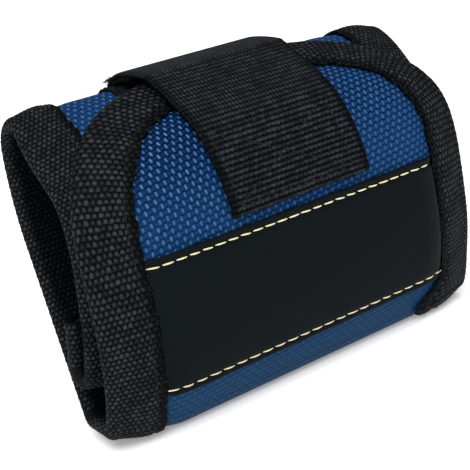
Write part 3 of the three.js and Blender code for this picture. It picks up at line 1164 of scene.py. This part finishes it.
# %% Box seam
BOX_IN_LEFT, BOX_IN_RIGHT, BOX_IN_END = 2.2, 4.6, 2.0
BOX_LEFT, BOX_RIGHT = STRAP_LEFT + BOX_IN_LEFT, STRAP_RIGHT - BOX_IN_RIGHT
BOX_TOP, BOX_END = 20.5, STRAP_END - BOX_IN_END
TOP_LEFT, LOW_LEFT = (BOX_LEFT, BOX_TOP), (BOX_LEFT, BOX_END)
TOP_RIGHT, LOW_RIGHT = (BOX_RIGHT, BOX_TOP), (BOX_RIGHT, BOX_END)
BOX_LINES = (
    (TOP_LEFT, LOW_LEFT),
    (LOW_LEFT, LOW_RIGHT),
    (LOW_RIGHT, TOP_RIGHT),
    (TOP_RIGHT, TOP_LEFT),
    (TOP_LEFT, LOW_RIGHT),
    (LOW_LEFT, TOP_RIGHT),
)
GROOVE_WIDE = 0.45


def box_groove(x, s):
    """How far the crossed box seam pulls the tape down, from 0 to 1."""
    groove = np.zeros(x.shape)
    for (x0, s0), (x1, s1) in BOX_LINES:
        long = math.hypot(x1 - x0, s1 - s0)
        part = np.clip(((x - x0) * (x1 - x0) + (s - s0) * (s1 - s0)) / long**2, 0, 1)
        away = np.hypot(x - x0 - part * (x1 - x0), s - s0 - part * (s1 - s0))
        groove = np.maximum(groove, ridge(away, GROOVE_WIDE))
    return groove


print("box seam:", round(BOX_RIGHT - BOX_LEFT, 1), "x", round(BOX_END - BOX_TOP, 1), "mm")

# %% Sewn length
BASE_RIB = 0.22
BASE_GAP = 0.08
GROOVE_DEEP = 0.25
END_ROUND = 0.5
base, u, v = add_grid("strap_base_tape", columns=152, rows=150)
s = STRAP_START + (STRAP_END - STRAP_START) * v
x = STRAP_LEFT + STRAP_WIDE * u
fallen = GROOVE_DEEP * box_groove(x, s) + rounding(STRAP_END - s, END_ROUND)
depth = -STRAP_FACE - strap_relief(x, s, BASE_RIB) + fallen
place_grid(base, bend(x + slant(s), s, depth), x, s)
thicken(base, STRAP_FACE - BASE_GAP)
finish_piece(base, "flap", STRAP_TAPE, "strap_tape", "strap_base")

# %% [markdown]
# ## The tail of the strap
# Beyond the tongue the strap passes over the top in a low arch and is pressed down behind it. It could be
# one piece with the sewn length, but the tail peels off, so it is its own piece on its own hinge at the
# crease. Its end is a frayed cut, and the hook patch is sewn under it.

# %% Tail
TAIL_RUNS = [(1.2, -24), (9.3, -9), (4.5, -22), (3, -33)]
TAIL_LONG = length_of(TAIL_RUNS)
FRAY_RUN = [(5, -12)]
TAIL_RIB = 0.08
TAIL_THICK = 0.75 * STRAP_THICK
TAIL_RAGGED = ((0.3, 153, 0), (0.25, 69, 1))
crease = bend(np.zeros(1), np.array([STRAP_START]), -STRAP_FACE)[0] / MM
crease_heading = along_band(np.array([STRAP_START]))[2][0]
TAIL_START = (crease[1], crease[2], crease_heading - math.pi)


def over_top(x, s, height):
    """Points of the tail, by width, length past the crease and height over its outer face."""
    y, z, heading = walk(TAIL_START, TAIL_RUNS + FRAY_RUN, s)
    across = TIP_X + x + slant(STRAP_START)
    return np.stack([across, y - height * np.sin(heading), z + height * np.cos(heading)], axis=-1) * MM


tail, u, v = add_grid("strap_tail_tape", columns=150, rows=70)
s = TAIL_LONG * v + np.where(np.isclose(v, 1), waves(u, TAIL_RAGGED), 0)
x = STRAP_LEFT + STRAP_WIDE * u
marked = TAIL_MARK + STRAP_START - s
place_grid(tail, over_top(x, s, strap_relief(x, marked, TAIL_RIB)), x, marked)
turn_over(tail)
thicken(tail, TAIL_THICK)
finish_piece(tail, "tail", STRAP_TAPE, "strap_tape", "strap_tail")

# %% Hook patch
HOOK_START, HOOK_STOP = 7, 0.3
HOOK_LONG = TAIL_LONG - HOOK_START - HOOK_STOP
HOOK_INSET = 0.4
HOOK_WIDE = STRAP_WIDE - 2 * HOOK_INSET
HOOK_DOWN = 0.95
HOOK_THICK = 1.2
hook, u, v = add_grid("hook_pile", columns=60, rows=24)
s = HOOK_START + HOOK_LONG * v
x = STRAP_LEFT + HOOK_INSET + HOOK_WIDE * u
place_grid(hook, over_top(x, s, 0 * x - HOOK_DOWN), x, s)
turn_over(hook)
thicken(hook, HOOK_THICK)
finish_piece(hook, "tail", HOOK_TAPE, "strap_tape", "hook_patch")

# %% [markdown]
# ## The crease of the strap
# On the real strap the tape bends round at the crease. Here it is cut there, and a gap would open when
# the tail is lifted. The tape could be stretched from one body to the other. A thin round fold on the
# hinge is simpler, and it looks the same however far the tail is lifted.

# %% Crease fold
HINGE_RISE = 0.1
CREASE_ROUND = 0.16
CREASE_IN = 0.25
crease_fold, u, v = add_grid("strap_crease_fold", columns=8, rows=60)
x = STRAP_LEFT + CREASE_IN + (STRAP_WIDE - 2 * CREASE_IN) * v
s = STRAP_START + CREASE_ROUND * np.cos(2 * math.pi * u)
depth = CREASE_ROUND * np.sin(2 * math.pi * u) - HINGE_RISE - STRAP_FACE - strap_relief(x, s, 0)
place_grid(crease_fold, bend(x + slant(s), s, depth), x, s)
close_tube(crease_fold)
finish_piece(crease_fold, "flap", STRAP_TAPE, "strap_tape")
SEWN_LONG = STRAP_END - STRAP_START
declare(base, STRAP_WIDE, SEWN_LONG, "laid", front_cover, front_binding, goes_with=[crease_fold])
declare(tail, STRAP_WIDE, TAIL_LONG, "folded", hook)
declare(hook, HOOK_WIDE, HOOK_LONG, "laid", "loop_strip")

# %% [markdown]
# ## The loop strip
# The tail presses onto a strip of soft loops that lies over the top fold and down the back. Thousands of
# loops could be made with hair, but they are too small to be seen apart. So a random nap on the grid
# makes the uneven surface of brushed loops, pressed flat along its seam.

# %% Loop strip
LOOP_LEFT, LOOP_RIGHT = -26, 18
LOOP_BEFORE, LOOP_AFTER = 25, 19.4
LOOP_FIRST, LOOP_LAST = TOP_FOLD - LOOP_BEFORE, TOP_FOLD + LOOP_AFTER
LOOP_WIDE, LOOP_LONG = LOOP_RIGHT - LOOP_LEFT, LOOP_BEFORE + LOOP_AFTER
LOOP_THICK = 0.8
LOOP_SHEET = 0.9 * LOOP_THICK
LOOP_GAP = 0.1
LOOP_SEAM = 1.8
NAP_SEED, NAP_HIGH = 7, 0.12
SEWN_WIDE, SEWN_DEEP = 0.6, 0.35
BORDER_WIDE, BORDER_DEEP = 0.5, 0.3
nap = np.random.default_rng(NAP_SEED)
loop, u, v = add_grid("loop_strip_pile", columns=110, rows=110)
s = LOOP_FIRST + LOOP_LONG * v
x = LOOP_LEFT + LOOP_WIDE * u
from_side = np.minimum(x - LOOP_LEFT, LOOP_RIGHT - x)
inside = np.minimum(from_side, np.minimum(s - s.min(), s.max() - s))
sewn = SEWN_DEEP * ridge(inside - LOOP_SEAM, SEWN_WIDE)
border = BORDER_DEEP * np.exp(-inside / BORDER_WIDE)
depth = NAP_HIGH * nap.standard_normal(len(x)) - LOOP_THICK - LOOP_GAP + sewn + border
place_grid(loop, bend(x, s, depth), x, s)
thicken(loop, LOOP_SHEET)
finish_piece(loop, "roll", LOOP_PILE, "loop_pile", "loop_strip")
declare(loop, LOOP_WIDE, LOOP_LONG, "laid", roll_cover)

# %% [markdown]
# ## Stitches
# A stitch is a short length of thread that comes up through one hole and goes down the next. A whole seam
# could be one curve, but then no thread would dive into the cloth. So one stitch is modelled from a
# sphere, drawn out and bowed, and each copy is bent onto the band with a little chance in its slant and
# length.

# %% One stitch
STITCH_SIDES = 8
STITCH_SINK = 0.55
SLANT_CHANCE = (0.06, 0.03)
LENGTH_CHANCE = (1, 0.04)


def stitch_shape():
    """A ball of thread, and its points with the first axis along the stitch."""
    bpy.ops.object.select_all(action="DESELECT")
    bpy.ops.mesh.primitive_uv_sphere_add(segments=STITCH_SIDES, ring_count=STITCH_SIDES, radius=0.5)
    ball = bpy.context.active_object
    spots = np.empty(len(ball.data.vertices) * 3)
    ball.data.vertices.foreach_get("co", spots)
    return ball, np.roll(spots.reshape(-1, 3), 1, axis=1)


def copy_stitch(ball, shape, size, row, chance, place):
    """One copy of the ball, drawn out to its size and bent to its place."""
    width, height, length = size
    across, along, direction = row
    copy = ball.copy()
    copy.data = ball.data.copy()
    bpy.context.collection.objects.link(copy)
    turn = direction + chance.normal(*SLANT_CHANCE)
    reach = shape[:, 0] * length * chance.normal(*LENGTH_CHANCE)
    side = shape[:, 1] * width
    x = across + reach * math.cos(turn) - side * math.sin(turn)
    s = along + reach * math.sin(turn) + side * math.cos(turn)
    bow = height * (1 - (2 * shape[:, 0]) ** 2) - height * STITCH_SINK
    move_points(copy.data, place(x, s, bow + shape[:, 2] * height))
    write_flat(copy.data, reach, side)
    return copy


def sew(name, rows, size, place, body, material, slot):
    """Copy a stitch of a width, height and length to rows of across, along and direction in radians."""
    chance = np.random.default_rng(len(rows))
    ball, shape = stitch_shape()
    copies = [copy_stitch(ball, shape, size, row, chance, place) for row in rows]
    bpy.data.objects.remove(ball)
    bpy.ops.object.select_all(action="DESELECT")
    for copy in copies:
        copy.select_set(True)
    bpy.context.view_layer.objects.active = copies[0]
    bpy.ops.object.join()
    thread = bpy.context.active_object
    thread.name = name
    edit(thread, (bpy.ops.mesh.normals_make_consistent, {"inside": False}))
    bpy.ops.object.shade_smooth()
    return finish_piece(thread, body, material, slot)


# %% Rows on the label
LABEL_PITCHES = (3.25, 3.5)
ROW_FIRST, ROW_LAST = -38.4, 39
LABEL_THREAD_WIDE, LABEL_THREAD_HIGH = 0.38, 0.24
LABEL_THREAD_SINK = 0.15
PITCH_SHARE = 0.94


def on_label(x, s, height):
    return bend(x, s, dip(edge_distance(x, s)) - LABEL_THICK + LABEL_THREAD_SINK - height)


for index, (line, pitch) in enumerate(zip(STITCH_ROWS, LABEL_PITCHES)):
    rows = [(x, line, 0.0) for x in np.arange(ROW_FIRST, ROW_LAST, pitch)]
    size = (LABEL_THREAD_WIDE, LABEL_THREAD_HIGH, PITCH_SHARE * pitch)
    name = f"label_stitches_{index + 1}"
    sew(name, rows, size, on_label, "flap", CREAM_THREAD, "label_leatherette")

# %% Seams of the binding
SEAM_PITCH = 2.7
SEAM_STITCH = (0.4, 0.2, 2.3)
SEAM_SINK = 0.3


def on_lip(x, s, height):
    return bend(x, s, lip_crown(edge_distance(x, s)) + SEAM_SINK - height)


def seam_rows(edges):
    """Places along the seam of a bound edge, and the direction of the seam there."""
    along = run_length(edges)
    picks = np.searchsorted(along, np.arange(SEAM_PITCH, along[-1] - SEAM_PITCH / 2, SEAM_PITCH))
    x, s, in_x, in_s = edges[picks].T
    inside = LIP - SEAM + fold_pull(x, s) * ((LIP - SEAM) / LIP) ** 2
    return list(zip(x + in_x * inside, s + in_s * inside, np.arctan2(-in_x, in_s)))


bound = {"front": (TONGUE, "flap"), "left": (LEFT_EDGE, "roll"), "right": (RIGHT_EDGE, "roll")}
for side, (edges, body) in bound.items():
    name = f"{side}_binding_stitches"
    sew(name, seam_rows(edges), SEAM_STITCH, on_lip, body, BLACK_THREAD, "edge_binding")

# %% Box seam of the strap
BOX_PITCH = 2.1
BOX_STITCH = (0.4, 0.2, 1.8)
BOX_SINK = 0.12


def on_strap(x, s, height):
    return bend(x + slant(s), s, -STRAP_FACE + BOX_SINK - height)


box_rows = []
for (x0, s0), (x1, s1) in BOX_LINES:
    long = math.hypot(x1 - x0, s1 - s0)
    for k in range(int(long / BOX_PITCH)):
        part = (k + 0.5) * BOX_PITCH / long
        box_rows.append((x0 + part * (x1 - x0), s0 + part * (s1 - s0), math.atan2(s1 - s0, x1 - x0)))
sew("strap_stitches", box_rows, BOX_STITCH, on_strap, "flap", BLACK_THREAD, "strap_tape")

# %% Seam of the loop strip
LOOP_PITCH = 2.4
LOOP_STITCH = (0.42, 0.2, 2.0)
LOOP_SINK = 0.2


def on_loop(x, s, height):
    return bend(x, s, -LOOP_THICK + LOOP_SINK - height)


left, right = LOOP_LEFT + LOOP_SEAM, LOOP_RIGHT - LOOP_SEAM
first, last = LOOP_FIRST + LOOP_SEAM, LOOP_LAST - LOOP_SEAM
places_down = np.arange(first + LOOP_PITCH / 2, last, LOOP_PITCH)
places_across = np.arange(left + LOOP_PITCH / 2, right, LOOP_PITCH)
loop_rows = [(x, s, math.pi / 2) for x in (left, right) for s in places_down]
loop_rows += [(x, s, 0.0) for s in (first, last) for x in places_across]
sew("loop_stitches", loop_rows, LOOP_STITCH, on_loop, "roll", BLACK_THREAD, "loop_pile")

# %% [markdown]
# ## Loose fibres
# Tape that is cut and sewn sheds short fibres: lint along the box seam, a fray at the cut end, fuzz
# beside the binding. A hair system could grow them, but it isn't a mesh. So they are thin stitches laid
# at random.

# %% Lint on the strap
FIBRE_SEED = 21
STRAP_LINT = (0.12, 0.1, 1.1)
LINT_SPREAD = 0.7
ANY_WAY = (-1.5, 1.5)
KNOT_FIBRES, KNOT_OUT, KNOT_STEP, KNOT_TURN = 4, 0.4, 0.5, 1.1
loose = np.random.default_rng(FIBRE_SEED)
lint = []
for k in range(KNOT_FIBRES):
    odd = k % 2
    x = BOX_LEFT - KNOT_OUT + KNOT_STEP * k
    lint.append((x, BOX_TOP + KNOT_STEP * odd, KNOT_TURN * (1 - 2 * odd)))
for x, s, direction in box_rows:
    stray_x = loose.normal(0, LINT_SPREAD)
    stray_s = loose.normal(0, LINT_SPREAD)
    lint.append((x + stray_x, s + stray_s, loose.uniform(*ANY_WAY)))
sew("strap_lint", lint, STRAP_LINT, on_strap, "flap", LINT, "strap_tape")

# %% Frayed end
FRAY_COUNT, CORNER_COUNT = 90, 16
FRAY_FIBRE = (0.14, 0.12, 2.0)
FRAY_OUT = 0.3
FRAY_TURN = (math.pi / 2, 0.5)
CORNER_SIDE, CORNER_BACK, CORNER_TURN = (-1, 0.8), (-1.8, 0.5), (2.8, 0.5)
frayed = []
for k in range(FRAY_COUNT):
    x = loose.uniform(STRAP_LEFT, STRAP_RIGHT)
    frayed.append((x, TAIL_LONG + FRAY_OUT, loose.normal(*FRAY_TURN)))
sew("frayed_fibres", frayed, FRAY_FIBRE, over_top, "tail", BLACK_THREAD, "strap_tape")
corner_rows = []
for k in range(CORNER_COUNT):
    x = STRAP_LEFT + loose.uniform(*CORNER_SIDE)
    s = TAIL_LONG + loose.normal(*CORNER_BACK)
    corner_rows.append((x, s, loose.normal(*CORNER_TURN)))

# %% Fuzz beside the binding
EDGE_COUNT = 150
EDGE_FIBRE = (0.16, 0.2, 1.0)
CORNER_FIBRE = (0.13, 0.12, 2.2)
FUZZ_HIGH = 0.9
FUZZ_OUT = (0.1, 0.3)


def beside_lip(x, s, height):
    return bend(x, s, dip(edge_distance(x, s)) - FUZZ_HIGH - height)


edge_rows = []
for x, s, in_x, in_s in TONGUE[loose.integers(0, len(TONGUE), EDGE_COUNT)]:
    reach = LIP + loose.normal(*FUZZ_OUT)
    edge_rows.append((x + in_x * reach, s + in_s * reach, loose.uniform(*ANY_WAY)))
sew("edge_fibres", edge_rows, EDGE_FIBRE, beside_lip, "flap", BLACK_THREAD, "edge_binding")
sew("corner_fibres", corner_rows, CORNER_FIBRE, over_top, "tail", LINT, "strap_tape")

# %% [markdown]
# ## Hidden pieces
# The magnets are nickel-plated discs, sealed inside the foam. They could be modelled again with a bevel,
# but no pose shows them. Their CAD solids stay as they are and only get their finish.

# %% Finish of the CAD solids
for name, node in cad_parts.items():
    if node.hide_render:
        continue
    node.data.materials.clear()
    node.data.materials.append(NICKEL)
    print("CAD solid kept:", name)

# %% [markdown]
# ## Floor and light
# The wristband stands on a pale, plain floor. A picture of a studio could light it. One very wide light
# from above and one soft lamp at the left front, with a weak white world, are enough for its soft, even
# tones.

# %% Floor
FLOOR_SIZE, FLOOR_Z = 6, -0.0002
PAPER, WHITE = (0.92, 0.92, 0.92, 1), (1, 1, 1, 1)
PAPER_GLOW = 0.25
bpy.ops.object.select_all(action="DESELECT")
bpy.ops.mesh.primitive_plane_add(size=FLOOR_SIZE, location=(0, 0, FLOOR_Z))
floor = bpy.context.active_object
floor.name = "floor"
paper, paper_shader = new_material("white_paper", roughness=0.9)[::2]
paper_shader.inputs["Base Color"].default_value = PAPER
paper_shader.inputs["Emission Color"].default_value = WHITE
paper_shader.inputs["Emission Strength"].default_value = PAPER_GLOW
floor.data.materials.append(paper)
print("floor at", FLOOR_Z, "m")

# %% Lights
WORLD_STRENGTH = 0.3
OVERHEAD_ANGLE = math.radians(60)
LAMP_PLACE = Vector((-0.45, -0.6, 0.5))
LAMP_SIZE = 0.4
CENTRE = Vector((0, 0, 0.035))


def add_light(kind, name, place, direction, energy):
    bpy.ops.object.light_add(type=kind, location=place)
    light = bpy.context.active_object
    light.name = name
    light.data.energy = energy
    light.rotation_euler = Vector(direction).to_track_quat("-Z", "Y").to_euler()
    return light.data


world = bpy.data.worlds.new("studio")
bpy.context.scene.world = world
world.use_nodes = True
sky = world.node_tree.nodes["Background"].inputs
sky["Color"].default_value = WHITE
sky["Strength"].default_value = WORLD_STRENGTH
overhead = add_light("SUN", "overhead_light", (-0.3, -0.4, 1), (0.25, 0.35, -1), energy=3.3)
overhead.angle = OVERHEAD_ANGLE
lamp = add_light("AREA", "side_light", LAMP_PLACE, CENTRE - LAMP_PLACE, energy=3)
lamp.size = LAMP_SIZE
print("lights:", len(bpy.data.lights))

# %% [markdown]
# ## Camera
# The camera was fitted to the label's rows, the strap's edges and the tongue's corners, so that the
# picture and the photograph can be laid over each other. It could be placed by eye, but a small error in
# its tilt would look like an error in the shape. Angles are in radians, and the focal length and the
# frame are in pixels.

# %% Camera
YAW, PITCH_DOWN, ROLL = 0.5796, 0.2735, -0.1867
REACH = 284.93
FOCAL, FRAME = 1240.85, 470
AIM = Vector((-5.143, 1.605, 31.17))
SENSOR = 36
CLIP_START = 0.01
forward = Vector(
    (math.sin(YAW) * math.cos(PITCH_DOWN), math.cos(YAW) * math.cos(PITCH_DOWN), -math.sin(PITCH_DOWN))
)
level = Vector((math.cos(YAW), -math.sin(YAW), 0))
rise = level.cross(forward)
right_hand = math.cos(ROLL) * level + math.sin(ROLL) * rise
upward = -math.sin(ROLL) * level + math.cos(ROLL) * rise
bpy.ops.object.camera_add(location=(AIM - REACH * forward) * MM)
camera = bpy.context.active_object
camera.rotation_euler = Matrix((right_hand, upward, -forward)).transposed().to_euler()
camera.data.sensor_width = SENSOR
camera.data.lens = FOCAL / FRAME * SENSOR
camera.data.clip_start = CLIP_START
bpy.context.scene.camera = camera
bpy.context.scene.view_settings.view_transform = "Standard"
print("lens:", round(camera.data.lens, 1), "mm")
